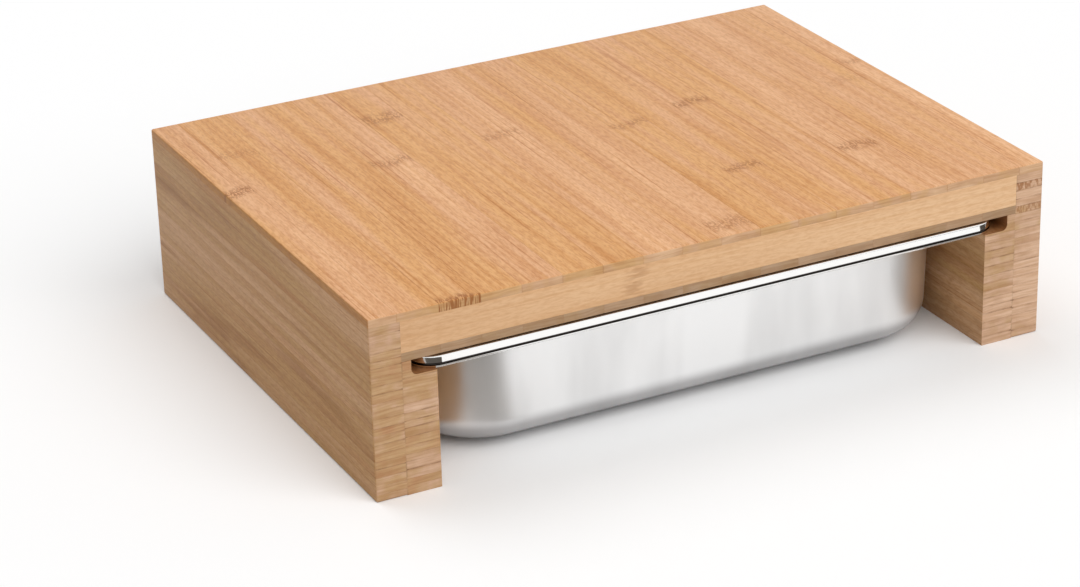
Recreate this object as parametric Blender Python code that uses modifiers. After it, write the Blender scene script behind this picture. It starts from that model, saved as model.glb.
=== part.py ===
"""Bread board with a crumb tray: glued bamboo strips and one drawn stainless-steel tray.

The board stands on two legs. Its top is three plies: staves that run front to back, a core of
strips that run side to side, and staves again. Each leg is two plies of stacked strips. The outer
ply rises beside the core to the top ply, and the inner ply stops under the board and holds the
groove in which the tray's rim slides.

Metres, +X to the right, +Y to the back, +Z up. The origin is the middle of the footprint, on the
table. Run it with blender --background --python part.py, or from the text editor.
"""

import math

import bmesh
import bpy
from mathutils import Vector

# Board
BOARD_WIDTH = 0.375
BOARD_DEPTH = 0.275
BOARD_HEIGHT = 0.095
TOP_PLY_THICKNESS = 0.0043
CORE_THICKNESS = 0.0160
BOTTOM_PLY_THICKNESS = 0.0045
CORE_FACE_STRIP_THICKNESS = 0.0060
GLUE_LINE = 0.0003
EASED_EDGE_RADIUS = 0.0010
TOP_STAVE_COUNT = 18
TOP_TRIMMED_STAVE_SHARE = 0.6875
BOTTOM_STAVE_COUNT = 16
BOTTOM_TRIMMED_STAVE_SHARE = 0.93
EASED_EDGE_SEGMENTS = 2

# Legs and their grooves
OUTER_PLY_THICKNESS = 0.0160
GROOVE_WEB_THICKNESS = 0.0047
GROOVE_DEPTH = 0.0132
GROOVE_CORNER_RADIUS = 0.0030
GROOVE_CORNER_SEGMENTS = 4

# How the tray fits the board
RIM_REST_GAP = 0.0003
RIM_HEADROOM = 0.0015
RIM_SIDE_CLEARANCE = 0.0040
TRAY_SETBACK = 0.0050
TRAY_FORWARD = 0.0040
TRAY_TABLE_CLEARANCE = 0.0031

# Tray
TRAY_SHEET = 0.0008
RIM_HEIGHT = 0.0060
RIM_WIDTH = 0.0135
RIM_CORNER_RADIUS = 0.0125
RIM_BEND_RADIUS = 0.0010
HEM_HEIGHT = 0.0010
HEM_LINE_HEIGHT = 0.0011
HEM_LINE_DEPTH = 0.0006
SHOULDER_RADIUS = 0.0030
WALL_TAPER = 0.0015
WALL_CORNER_RADIUS = 0.0435
FLOOR_RADIUS = 0.0160
CORNER_SEGMENTS = 8
SMALL_BEND_SEGMENTS = 3
FLOOR_BEND_SEGMENTS = 6
SHARP_ANGLE = math.radians(40)

# How far each cut runs past the wood
OVERRUN = 0.0020

# Places worked out from the sizes above
TOP_PLY_UNDERSIDE = BOARD_HEIGHT - TOP_PLY_THICKNESS
CORE_UNDERSIDE = TOP_PLY_UNDERSIDE - GLUE_LINE - CORE_THICKNESS
BOARD_UNDERSIDE = CORE_UNDERSIDE - GLUE_LINE - BOTTOM_PLY_THICKNESS
OUTER_PLY_INSIDE = BOARD_WIDTH / 2 - OUTER_PLY_THICKNESS
REBATE_HALF_WIDTH = OUTER_PLY_INSIDE - GLUE_LINE
GROOVE_WALL = REBATE_HALF_WIDTH - GROOVE_WEB_THICKNESS
BAY_HALF_WIDTH = GROOVE_WALL - GROOVE_DEPTH
RIM_TOP = BOARD_UNDERSIDE - RIM_HEADROOM
GROOVE_FLOOR = RIM_TOP - RIM_HEIGHT - RIM_REST_GAP
TRAY_HALF_WIDTH = GROOVE_WALL - RIM_SIDE_CLEARANCE
TRAY_HALF_DEPTH = BOARD_DEPTH / 2 - TRAY_SETBACK
TRAY_HEIGHT = RIM_TOP - TRAY_TABLE_CLEARANCE

# The outward direction of each side of a strip
SIDES = {
    "left": Vector((-1, 0, 0)),
    "right": Vector((1, 0, 0)),
    "front": Vector((0, -1, 0)),
    "back": Vector((0, 1, 0)),
    "bottom": Vector((0, 0, -1)),
    "top": Vector((0, 0, 1)),
}
SAME_DIRECTION = 0.99


def clear_scene():
    for obj in list(bpy.data.objects):
        bpy.data.objects.remove(obj)


def add_collection(name):
    collection = bpy.data.collections.new(name)
    bpy.context.scene.collection.children.link(collection)
    return collection


def make_material(name, colour, roughness, metallic):
    material = bpy.data.materials.new(name)
    material.use_nodes = True
    shader = material.node_tree.nodes["Principled BSDF"]
    shader.inputs["Base Color"].default_value = (*colour, 1)
    shader.inputs["Roughness"].default_value = roughness
    shader.inputs["Metallic"].default_value = metallic
    material.diffuse_color = (*colour, 1)
    return material


def top_bamboo():
    return make_material("top_bamboo", (0.70, 0.41, 0.21), 0.48, 0)


def core_bamboo():
    return make_material("core_bamboo", (0.68, 0.43, 0.24), 0.50, 0)


def bottom_bamboo():
    return make_material("bottom_bamboo", (0.58, 0.36, 0.20), 0.52, 0)


def leg_bamboo():
    return make_material("leg_bamboo", (0.55, 0.34, 0.19), 0.52, 0)


def drawn_steel():
    return make_material("drawn_steel", (0.66, 0.66, 0.65), 0.28, 1)


def new_part(name, mesh_builder, place, material, collection, parent):
    mesh = bpy.data.meshes.new(name)
    mesh_builder.to_mesh(mesh)
    mesh_builder.free()
    part = bpy.data.objects.new(name, mesh)
    part.location = place
    part.parent = parent
    if material:
        mesh.materials.append(material)
    collection.objects.link(part)
    return part


def add_empty(name, place, collection):
    empty = bpy.data.objects.new(name, None)
    empty.location = place
    collection.objects.link(empty)
    return empty


def shows(face, exposed):
    return any(face.normal.dot(SIDES[side]) > SAME_DIRECTION for side in exposed)


def box_between(low, high):
    """A box with its middle at the origin, and the place of that middle."""
    low, high = Vector(low), Vector(high)
    builder = bmesh.new()
    bmesh.ops.create_cube(builder, size=1)
    bmesh.ops.scale(builder, vec=high - low, verts=builder.verts)
    builder.normal_update()
    return builder, (low + high) / 2


def add_strip(name, low, high, exposed, material, collection, parent):
    """A straight piece of wood. An edge where two exposed sides meet is eased."""
    builder, middle = box_between(low, high)
    eased = [
        edge
        for edge in builder.edges
        if all(shows(face, exposed) for face in edge.link_faces)
    ]
    if eased:
        bmesh.ops.bevel(
            builder,
            geom=eased,
            offset=EASED_EDGE_RADIUS,
            segments=EASED_EDGE_SEGMENTS,
            profile=0.5,
            affect="EDGES",
            material=-1,
            clamp_overlap=True,
        )
    return new_part(name, builder, middle, material, collection, parent)


def add_staves(
    label, count, trimmed_share, half_width, bottom, top, exposed, material, collection, parent
):
    """A ply of staves side by side, from front to back, with the outer two trimmed narrower."""
    pitch = (2 * half_width + GLUE_LINE) / (count - 2 + 2 * trimmed_share)
    joints = [(number - count / 2) * pitch for number in range(1, count)]
    lefts = [-half_width] + [joint + GLUE_LINE / 2 for joint in joints]
    rights = [joint - GLUE_LINE / 2 for joint in joints] + [half_width]
    for number, (left, right) in enumerate(zip(lefts, rights), start=1):
        glued = set()
        if left > -half_width:
            glued.add("left")
        if right < half_width:
            glued.add("right")
        add_strip(
            f"{label}_{number:02d}",
            (left, -BOARD_DEPTH / 2, bottom),
            (right, BOARD_DEPTH / 2, top),
            exposed - glued,
            material,
            collection,
            parent,
        )


def add_top_ply(collection, parent):
    add_staves(
        "top_stave",
        TOP_STAVE_COUNT,
        TOP_TRIMMED_STAVE_SHARE,
        BOARD_WIDTH / 2,
        TOP_PLY_UNDERSIDE,
        BOARD_HEIGHT,
        {"left", "right", "front", "back", "top"},
        top_bamboo(),
        collection,
        parent,
    )


def add_bottom_ply(collection, parent):
    """The sides of this ply are glued into the legs' rebates."""
    add_staves(
        "bottom_stave",
        BOTTOM_STAVE_COUNT,
        BOTTOM_TRIMMED_STAVE_SHARE,
        REBATE_HALF_WIDTH,
        BOARD_UNDERSIDE,
        CORE_UNDERSIDE - GLUE_LINE,
        {"front", "back", "bottom"},
        bottom_bamboo(),
        collection,
        parent,
    )


def add_core(collection, parent):
    """The strips across the board: the two that show, and the ones between them as one panel."""
    material = core_bamboo()
    front = -BOARD_DEPTH / 2
    inner_front = front + CORE_FACE_STRIP_THICKNESS
    stretches = {
        "core_front_strip": (front, inner_front),
        "core_middle_panel": (inner_front + GLUE_LINE, -inner_front - GLUE_LINE),
        "core_back_strip": (-inner_front, -front),
    }
    for name, (near, far) in stretches.items():
        add_strip(
            name,
            (-REBATE_HALF_WIDTH, near, CORE_UNDERSIDE),
            (REBATE_HALF_WIDTH, far, TOP_PLY_UNDERSIDE - GLUE_LINE),
            set(),
            material,
            collection,
            parent,
        )


def between(side, inner, outer):
    """The lowest and highest X of what lies from inner to outer on that side of the middle."""
    return sorted((side * inner, side * outer))


def add_groove_cutter(label, side, cutters):
    """What the router takes out: a channel with a rounded corner at its foot."""
    left, right = between(side, BAY_HALF_WIDTH - OVERRUN, GROOVE_WALL)
    reach = BOARD_DEPTH / 2 + OVERRUN
    builder, middle = box_between(
        (left, -reach, GROOVE_FLOOR),
        (right, reach, BOARD_UNDERSIDE + OVERRUN),
    )
    wall = "right" if side > 0 else "left"
    foot = [
        edge
        for edge in builder.edges
        if all(shows(face, {wall, "bottom"}) for face in edge.link_faces)
    ]
    bmesh.ops.bevel(
        builder,
        geom=foot,
        offset=GROOVE_CORNER_RADIUS,
        segments=GROOVE_CORNER_SEGMENTS,
        profile=0.5,
        affect="EDGES",
        material=-1,
        clamp_overlap=True,
    )
    cutter = new_part(f"{label}_groove_cutter", builder, middle, None, cutters, None)
    cutter.hide_render = True
    cutter.display_type = "WIRE"
    return cutter


def add_leg(label, side, material, collection, cutters, parent):
    outside, inside = ("right", "left") if side > 0 else ("left", "right")
    half_depth = BOARD_DEPTH / 2
    left, right = between(side, OUTER_PLY_INSIDE, BOARD_WIDTH / 2)
    add_strip(
        f"{label}_leg_outer_ply",
        (left, -half_depth, 0),
        (right, half_depth, TOP_PLY_UNDERSIDE - GLUE_LINE),
        {outside, "front", "back", "bottom"},
        material,
        collection,
        parent,
    )
    left, right = between(side, BAY_HALF_WIDTH, REBATE_HALF_WIDTH)
    inner_ply = add_strip(
        f"{label}_leg_inner_ply",
        (left, -half_depth, 0),
        (right, half_depth, BOARD_UNDERSIDE - GLUE_LINE),
        {inside, "front", "back", "bottom"},
        material,
        collection,
        parent,
    )
    groove = inner_ply.modifiers.new("groove", "BOOLEAN")
    groove.object = add_groove_cutter(label, side, cutters)
    groove.solver = "EXACT"


def add_legs(collection, cutters, parent):
    material = leg_bamboo()
    add_leg("left", -1, material, collection, cutters, parent)
    add_leg("right", 1, material, collection, cutters, parent)


def rounded_outline(half_width, half_depth, radius, height):
    """Points of a rounded rectangle, anticlockwise from above, at one height."""
    points = []
    for quarter in range(4):
        middle_angle = math.radians(45 + 90 * quarter)
        across = math.copysign(half_width - radius, math.cos(middle_angle))
        along = math.copysign(half_depth - radius, math.sin(middle_angle))
        for step in range(CORNER_SEGMENTS + 1):
            angle = math.radians(90) * (quarter + step / CORNER_SEGMENTS)
            x = across + radius * math.cos(angle)
            y = along + radius * math.sin(angle)
            points.append((x, y, height))
    return points


def quarter_bend(radius, segments):
    """Steps round a bend: how far it has gone across and down, from level to upright."""
    for step in range(segments + 1):
        angle = math.radians(90) * step / segments
        yield radius * math.sin(angle), radius * (1 - math.cos(angle))


def tray_outlines():
    """The tray's upper skin as outlines, from the rim's lower edge over it and down to the floor.

    Heights count from the top of the rim. An outline's inset is measured from the rim's edge.
    """
    outlines = []

    def add_rim_outline(inset, height):
        outlines.append(
            rounded_outline(
                TRAY_HALF_WIDTH - inset,
                TRAY_HALF_DEPTH - inset,
                RIM_CORNER_RADIUS - inset,
                height,
            )
        )

    def add_wall_outline(inset, height):
        outlines.append(
            rounded_outline(
                TRAY_HALF_WIDTH - RIM_WIDTH - inset,
                TRAY_HALF_DEPTH - RIM_WIDTH - inset,
                WALL_CORNER_RADIUS - inset,
                height,
            )
        )

    hem_top = HEM_HEIGHT - RIM_HEIGHT
    add_rim_outline(0, -RIM_HEIGHT)
    add_rim_outline(0, hem_top)
    add_rim_outline(HEM_LINE_DEPTH, hem_top + HEM_LINE_HEIGHT / 2)
    add_rim_outline(0, hem_top + HEM_LINE_HEIGHT)
    for across, down in reversed(list(quarter_bend(RIM_BEND_RADIUS, SMALL_BEND_SEGMENTS))):
        add_rim_outline(RIM_BEND_RADIUS - across, -down)
    for across, down in quarter_bend(SHOULDER_RADIUS, SMALL_BEND_SEGMENTS):
        add_wall_outline(across - SHOULDER_RADIUS + TRAY_SHEET, -down)
    floor = TRAY_SHEET - TRAY_HEIGHT
    floor_radius = FLOOR_RADIUS - TRAY_SHEET
    for across, down in reversed(list(quarter_bend(floor_radius, FLOOR_BEND_SEGMENTS))):
        add_wall_outline(WALL_TAPER + TRAY_SHEET + floor_radius - across, floor + down)
    return outlines


def add_tray(collection):
    """One drawn sheet. It slides front to back, so its parent lies on that line."""
    rest_place = (0, -TRAY_FORWARD, GROOVE_FLOOR + RIM_REST_GAP)
    runner = add_empty("tray_slide_line", rest_place, collection)
    builder = bmesh.new()
    rings = [[builder.verts.new(point) for point in outline] for outline in tray_outlines()]
    for outer, inner in zip(rings, rings[1:]):
        for index, corner in enumerate(outer):
            following = (index + 1) % len(outer)
            builder.faces.new((corner, outer[following], inner[following], inner[index]))
    builder.faces.new(rings[-1])
    place = (0, 0, RIM_HEIGHT)
    tray = new_part("crumb_tray", builder, place, drawn_steel(), collection, runner)
    tray.data.shade_smooth()
    sheet = tray.modifiers.new("sheet", "SOLIDIFY")
    sheet.thickness = TRAY_SHEET
    sheet.offset = -1
    sheet.use_even_offset = True
    tray.data.set_sharp_from_angle(angle=SHARP_ANGLE)
    return tray


def main():
    clear_scene()
    parts = add_collection("bread_board")
    cutters = add_collection("cutters")
    board = add_empty("board", (0, 0, 0), parts)
    add_top_ply(parts, board)
    add_core(parts, board)
    add_bottom_ply(parts, board)
    add_legs(parts, cutters, board)
    add_tray(parts)


main()
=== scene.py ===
# %% [markdown]
# # A bamboo bread board with a crumb tray
# The board is glued up from bamboo strips and stands on two legs. A drawn steel tray hangs by its
# rim in a groove in each leg. The construction is settled already, so this file loads it as a
# fixed frame and makes the surfaces that show: the strips one by one, and the thin steel.

# %% Load the frame
import math
import random

import bmesh
import bpy
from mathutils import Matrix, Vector


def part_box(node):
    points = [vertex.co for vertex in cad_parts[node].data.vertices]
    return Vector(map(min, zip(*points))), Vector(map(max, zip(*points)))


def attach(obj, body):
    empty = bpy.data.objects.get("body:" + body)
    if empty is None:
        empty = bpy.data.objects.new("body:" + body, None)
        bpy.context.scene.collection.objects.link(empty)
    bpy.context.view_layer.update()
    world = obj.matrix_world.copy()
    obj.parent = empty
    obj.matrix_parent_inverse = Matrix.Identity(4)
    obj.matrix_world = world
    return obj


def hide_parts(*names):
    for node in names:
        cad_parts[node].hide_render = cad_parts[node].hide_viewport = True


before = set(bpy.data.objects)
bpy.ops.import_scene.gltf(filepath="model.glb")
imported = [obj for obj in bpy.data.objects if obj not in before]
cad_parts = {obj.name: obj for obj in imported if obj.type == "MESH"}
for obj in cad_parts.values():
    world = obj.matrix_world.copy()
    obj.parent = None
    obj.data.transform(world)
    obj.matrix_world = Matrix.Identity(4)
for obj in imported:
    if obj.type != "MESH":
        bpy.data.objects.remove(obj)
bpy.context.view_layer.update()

# %% [markdown]
# ## The camera
# A long lens a step and a half away keeps the board's edges nearly parallel, as in a catalogue
# picture. The camera could be aimed with a Track To constraint, but three directions worked out
# from an azimuth, an elevation and a roll say exactly where it looks and can be read back.

# %% Camera
CAMERA_AZIMUTH = math.radians(-26.55)
CAMERA_ELEVATION = math.radians(24.62)
CAMERA_ROLL = math.radians(-1.60)
CAMERA_DISTANCE = 1.639
CAMERA_TARGET = Vector((-0.0592, -0.0585, 0.0475))
SENSOR_WIDTH_MM = 36
FOCAL_LENGTH_PIXELS = 3280
IMAGE_WIDTH_PIXELS = 1080


def camera_directions(azimuth, elevation, roll):
    """Which way the camera's right side, top and back point."""
    level = Vector((math.cos(azimuth), math.sin(azimuth), 0))
    back = Vector((
        math.sin(azimuth) * math.cos(elevation),
        -math.cos(azimuth) * math.cos(elevation),
        math.sin(elevation),
    ))
    upright = back.cross(level)
    right = level * math.cos(roll) + upright * math.sin(roll)
    up = upright * math.cos(roll) - level * math.sin(roll)
    return right, up, back


def add_camera():
    data = bpy.data.cameras.new("studio_camera")
    data.sensor_width = SENSOR_WIDTH_MM
    data.lens = FOCAL_LENGTH_PIXELS / IMAGE_WIDTH_PIXELS * SENSOR_WIDTH_MM
    camera = bpy.data.objects.new("studio_camera", data)
    bpy.context.scene.collection.objects.link(camera)
    right, up, back = camera_directions(CAMERA_AZIMUTH, CAMERA_ELEVATION, CAMERA_ROLL)
    camera.matrix_world.col[0].xyz = right
    camera.matrix_world.col[1].xyz = up
    camera.matrix_world.col[2].xyz = back
    camera.matrix_world.col[3].xyz = CAMERA_TARGET + back * CAMERA_DISTANCE
    bpy.context.scene.camera = camera
    return camera


camera = add_camera()
print("camera at", tuple(round(x, 3) for x in camera.matrix_world.translation))

# %% [markdown]
# ## Helpers for shader nodes
# A material's nodes could be joined by hand in the Shader editor. Written in Python they stay
# readable if each kind of node has a short function that takes numbers or other nodes' outputs.

# %% Node helpers
def feed(tree, socket, value):
    """Joins another node's output to a socket, or sets its plain value."""
    if isinstance(value, bpy.types.NodeSocket):
        tree.links.new(value, socket)
    else:
        socket.default_value = value


def new_material(name):
    """A material with its Principled shader, its node tree and its Object coordinates."""
    material = bpy.data.materials.new(name)
    material.use_nodes = True
    tree = material.node_tree
    shader = tree.nodes["Principled BSDF"]
    place = tree.nodes.new("ShaderNodeTexCoord")
    return material, tree, shader, place


def calc(tree, operation, *values):
    node = tree.nodes.new("ShaderNodeMath")
    node.operation = operation
    for socket, value in zip(node.inputs, values):
        feed(tree, socket, value)
    return node.outputs[0]


def fade(tree, value, start, end):
    """Rises smoothly from 0 where the value is start to 1 where it is end."""
    node = tree.nodes.new("ShaderNodeMapRange")
    node.interpolation_type = "SMOOTHSTEP"
    feed(tree, node.inputs["Value"], value)
    node.inputs["From Min"].default_value = start
    node.inputs["From Max"].default_value = end
    return node.outputs[0]


def mix(tree, share, first, second, blend="MIX"):
    node = tree.nodes.new("ShaderNodeMix")
    node.data_type = "RGBA"
    node.blend_type = blend
    feed(tree, node.inputs[0], share)
    feed(tree, node.inputs[6], first)
    feed(tree, node.inputs[7], second)
    return node.outputs[2]


def stretched(tree, place, lumps_per_metre):
    """Coordinates in which one unit is one lump of a pattern, so that it can be drawn out."""
    node = tree.nodes.new("ShaderNodeMapping")
    feed(tree, node.inputs["Vector"], place)
    node.inputs["Scale"].default_value = lumps_per_metre
    return node.outputs[0]


def noise(tree, place, lumps_per_metre, detail=2.0, roughness=0.5, distortion=0.0):
    node = tree.nodes.new("ShaderNodeTexNoise")
    feed(tree, node.inputs["Vector"], stretched(tree, place, lumps_per_metre))
    node.inputs["Scale"].default_value = 1
    node.inputs["Detail"].default_value = detail
    node.inputs["Roughness"].default_value = roughness
    node.inputs["Distortion"].default_value = distortion
    return node.outputs[0]


def attribute(tree, name):
    node = tree.nodes.new("ShaderNodeAttribute")
    node.attribute_name = name
    return node


def split(tree, vector):
    node = tree.nodes.new("ShaderNodeSeparateXYZ")
    feed(tree, node.inputs[0], vector)
    return node.outputs


def ramp(tree, value, colours):
    """Evenly spaced colours along the value from 0 to 1."""
    node = tree.nodes.new("ShaderNodeValToRGB")
    stops = node.color_ramp.elements
    while len(stops) < len(colours):
        stops.new(0.5)
    for index, colour in enumerate(colours):
        stops[index].position = index / (len(colours) - 1)
        stops[index].color = (*colour, 1)
    feed(tree, node.inputs[0], value)
    return node.outputs[0]


def emboss(tree, shader, height, depth):
    node = tree.nodes.new("ShaderNodeBump")
    node.inputs["Strength"].default_value = 1
    node.inputs["Distance"].default_value = depth
    feed(tree, node.inputs["Height"], height)
    feed(tree, shader.inputs["Normal"], node.outputs[0])


# %% [markdown]
# ## Bamboo
# A bamboo strip is a bundle of straight fibres. Along the grain they show as fine streaks and
# short dark pores. Across it, at a strip's end, they show as dots that crowd towards the skin side
# of the stem. Every few hand widths a joint of the stem leaves a row of short brown dashes. An
# image could hold all this, but noise drawn out along the grain has no seams and is solid: the
# same fibres come out at the strip's end as dots. Each strip brings its own numbers as mesh
# attributes, so neighbours differ in tone, and no two have the same grain.

# %% Fibres along a strip
GRAIN_AXES = {"X": 0, "Y": 1}
STREAK_TINT = (0.88, 0.79, 0.67, 1)
THREAD_TINT = (0.84, 0.75, 0.66, 1)
LINE_TINT = (0.78, 0.64, 0.50, 1)
PORE_BROWN = (0.40, 0.19, 0.08, 1)

# Lumps per metre across the grain and along it
BAND_LUMPS, PATCH_LUMPS = (45, 4), (130, 6)
STREAK_LUMPS, THREAD_LUMPS = (400, 5), (1100, 200)
LINE_LUMPS, PORE_LUMPS = (700, 7), (2000, 240)

TONE_DRIFT = 1.2
PORES_SHOWN = 0.18
PORE_DEPTH = 0.8


def along_grain(grain, across, along):
    """Lumps per metre, many across the grain and few along it."""
    scale = [across, across, across]
    scale[GRAIN_AXES[grain]] = along
    return scale


def darken(tree, colour, share, tint):
    return mix(tree, share, colour, tint, "MULTIPLY")


def fibres(tree, solid, place, grain, tones, contrast):
    """The plain colour of a strip, its colour with fibres, and the height of the fibres.

    The broad bands run on from strip to strip. The rest is each strip's own.
    """
    bands = noise(tree, solid, along_grain(grain, *BAND_LUMPS), 2)
    patches = noise(tree, place, along_grain(grain, *PATCH_LUMPS), 2)
    streaks = noise(tree, place, along_grain(grain, *STREAK_LUMPS), 2, 0.6, 0.1)
    threads = noise(tree, place, along_grain(grain, *THREAD_LUMPS), 2, 0.6, 0.2)
    long_lines = noise(tree, place, along_grain(grain, *LINE_LUMPS), 1)
    pores = fade(tree, noise(tree, place, along_grain(grain, *PORE_LUMPS), 1), 0.60, 0.75)

    tone = attribute(tree, "strip_tone").outputs["Fac"]
    drift = calc(
        tree, "ADD", calc(tree, "MULTIPLY", bands, TONE_DRIFT), calc(tree, "MULTIPLY", patches, TONE_DRIFT)
    )
    drift = calc(tree, "MULTIPLY_ADD", drift, contrast, -TONE_DRIFT * contrast)
    plain = ramp(tree, calc(tree, "ADD", tone, drift), tones)
    streaked = calc(tree, "MULTIPLY", fade(tree, streaks, 0.62, 0.30), contrast)
    colour = darken(tree, plain, streaked, STREAK_TINT)
    threaded = calc(tree, "MULTIPLY", fade(tree, threads, 0.62, 0.32), contrast)
    colour = darken(tree, colour, threaded, THREAD_TINT)
    lined = calc(tree, "MULTIPLY", fade(tree, long_lines, 0.64, 0.76), contrast)
    colour = darken(tree, colour, lined, LINE_TINT)
    colour = mix(tree, calc(tree, "MULTIPLY", pores, PORES_SHOWN * contrast), colour, PORE_BROWN)
    return plain, colour, calc(tree, "SUBTRACT", threads, calc(tree, "MULTIPLY", pores, PORE_DEPTH))


# %% Strip ends
BUNDLE_LUMPS = (1300, 15)
DOTS_SHOWN, MORE_DOTS_AT_SKIN = 0.03, 0.12
SKIN_SHADE = 0.10
LAYER_TINT = (0.85, 0.785, 0.715, 1)
LAYER_WAVE, WAVE_LUMPS = 0.003, (55, 3, 55)
FINE_LAYER_LUMPS, THICK_LAYER_LUMPS = (45, 3, 900), (25, 3, 260)
THICK_LAYERS_SHOWN = 0.5


def strip_ends(tree, solid, place, plain, grain, tint):
    """The fibres cut across: faint dots that crowd to the skin side, and fine wavy layers."""
    skin = attribute(tree, "strip_skin").outputs["Fac"]
    bundles = tree.nodes.new("ShaderNodeTexVoronoi")
    feed(tree, bundles.inputs["Vector"], stretched(tree, place, along_grain(grain, *BUNDLE_LUMPS)))
    bundles.inputs["Scale"].default_value = 1
    dots = fade(tree, bundles.outputs["Distance"], 0.42, 0.15)
    crowding = calc(
        tree, "MULTIPLY_ADD", calc(tree, "POWER", skin, 2), MORE_DOTS_AT_SKIN, DOTS_SHOWN
    )
    lifted = calc(tree, "MULTIPLY", noise(tree, solid, WAVE_LUMPS, 1), LAYER_WAVE)
    swayed = tree.nodes.new("ShaderNodeCombineXYZ")
    feed(tree, swayed.inputs[2], lifted)
    moved = tree.nodes.new("ShaderNodeVectorMath")
    feed(tree, moved.inputs[0], place)
    feed(tree, moved.inputs[1], swayed.outputs[0])
    layers = noise(tree, moved.outputs[0], FINE_LAYER_LUMPS, 3, 0.6)
    thick = noise(tree, moved.outputs[0], THICK_LAYER_LUMPS, 2)
    colour = darken(tree, plain, 1.0, tint)
    colour = darken(tree, colour, fade(tree, layers, 0.66, 0.34), LAYER_TINT)
    thick = calc(tree, "MULTIPLY", fade(tree, thick, 0.62, 0.36), THICK_LAYERS_SHOWN)
    colour = darken(tree, colour, thick, LAYER_TINT)
    colour = mix(tree, calc(tree, "MULTIPLY", dots, crowding), colour, PORE_BROWN)
    shade = calc(tree, "MULTIPLY", calc(tree, "POWER", skin, 3), SKIN_SHADE)
    return mix(tree, shade, colour, PORE_BROWN)


# %% Joints of the stem
NODE_MARK_BROWN = (0.34, 0.130, 0.038, 1)
NODE_MARK_WANDER, WANDER_LUMPS = 0.012, (110, 0.5)
DASHES_SHOWN, BETWEEN_DASHES = 0.90, 0.10


def node_marks(tree, solid, place, grain, dash_lumps):
    """How brown a stem's joint makes the wood: a band of dashes that wanders across the strip."""
    mark_place, half_reach, strength = split(tree, attribute(tree, "strip_node").outputs["Vector"])
    wander = noise(tree, place, along_grain(grain, *WANDER_LUMPS), 1)
    apart = calc(tree, "SUBTRACT", split(tree, solid)[GRAIN_AXES[grain]], mark_place)
    wander = calc(tree, "SUBTRACT", wander, 0.5)
    apart = calc(tree, "MULTIPLY_ADD", wander, NODE_MARK_WANDER, apart)
    reach = calc(tree, "DIVIDE", calc(tree, "ABSOLUTE", apart), half_reach)
    dashes = fade(tree, noise(tree, place, dash_lumps, 2), 0.43, 0.56)
    dashed = calc(tree, "MULTIPLY_ADD", dashes, DASHES_SHOWN, BETWEEN_DASHES)
    mark = calc(tree, "MULTIPLY", fade(tree, reach, 1.3, 0.15), strength)
    return calc(tree, "MULTIPLY", mark, dashed)


# %% Glue lines
GLUE_BROWN = (0.23, 0.11, 0.05, 1)
JOINT_LINE_WIDTH = 0.0008
LINE_EDGE, LINE_MIDDLE = 1.15 * JOINT_LINE_WIDTH, 0.55 * JOINT_LINE_WIDTH
RAGGED_EDGE_LUMPS, GLUE_PATCH_LUMPS = (160, 160, 20), (90, 90, 170)
LEAST_GLUE, MORE_GLUE_IN_PATCHES = 0.35, 0.65
SEAM_HALF_WIDTH, SEAM_SHOWN = 0.0006, 0.38
SEAM_SPOT_REACH, SEAM_SPOT_GAIN = 0.0018, 0.9
GLUE_ON_SIDES = 0.16


def glue_between(tree, solid, end, strip_width, glue_plane):
    """How much glue shows: uneven lines on the ends of the strips, and hardly any along them."""
    across = attribute(tree, "strip_across").outputs["Fac"]
    nearest = calc(tree, "MINIMUM", across, calc(tree, "SUBTRACT", 1, across))
    edge = calc(tree, "MULTIPLY", nearest, strip_width)
    uneven = calc(tree, "MULTIPLY", noise(tree, solid, RAGGED_EDGE_LUMPS, 2), JOINT_LINE_WIDTH)
    line = fade(tree, calc(tree, "ADD", edge, uneven), LINE_EDGE, LINE_MIDDLE)
    patches = fade(tree, noise(tree, solid, GLUE_PATCH_LUMPS, 2), 0.36, 0.62)
    glue = calc(tree, "MULTIPLY", line, attribute(tree, "strip_glue").outputs["Fac"])
    patchy = calc(tree, "MULTIPLY_ADD", patches, MORE_GLUE_IN_PATCHES, LEAST_GLUE)
    glue = calc(tree, "MULTIPLY", glue, patchy)
    if glue_plane:
        from_plane = calc(tree, "ABSOLUTE", split(tree, solid)[0])
        from_plane = calc(tree, "ABSOLUTE", calc(tree, "SUBTRACT", from_plane, glue_plane))
        spots = calc(tree, "MULTIPLY", fade(tree, from_plane, SEAM_SPOT_REACH, 0), SEAM_SPOT_GAIN)
        glue = calc(tree, "MULTIPLY", glue, calc(tree, "ADD", spots, 1))
        seam = calc(tree, "MULTIPLY", fade(tree, from_plane, SEAM_HALF_WIDTH, 0), patches)
        glue = calc(tree, "MAXIMUM", glue, calc(tree, "MULTIPLY", seam, SEAM_SHOWN))
    shown = calc(tree, "MULTIPLY_ADD", end, 1 - GLUE_ON_SIDES, GLUE_ON_SIDES)
    return calc(tree, "MULTIPLY", glue, shown)


# %% Bamboo material
BAMBOO_BUMP = 0.00004
SANDED_ROUGHNESS, FIBRE_ROUGHNESS = 0.46, 0.16
OILED_SHEEN = 0.30
WHITE = (1, 1, 1, 1)
# Painted shade in the tray's groove
GROOVE_PAINTED_SHADE = (0.50, 0.36, 0.26, 1)
GROOVE_SHADE_DEPTH = 0.0004
SIDE_STREAK_TINT = (0.68, 0.57, 0.42, 1)
SIDE_STREAK_LUMPS = (75, 6)


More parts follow.
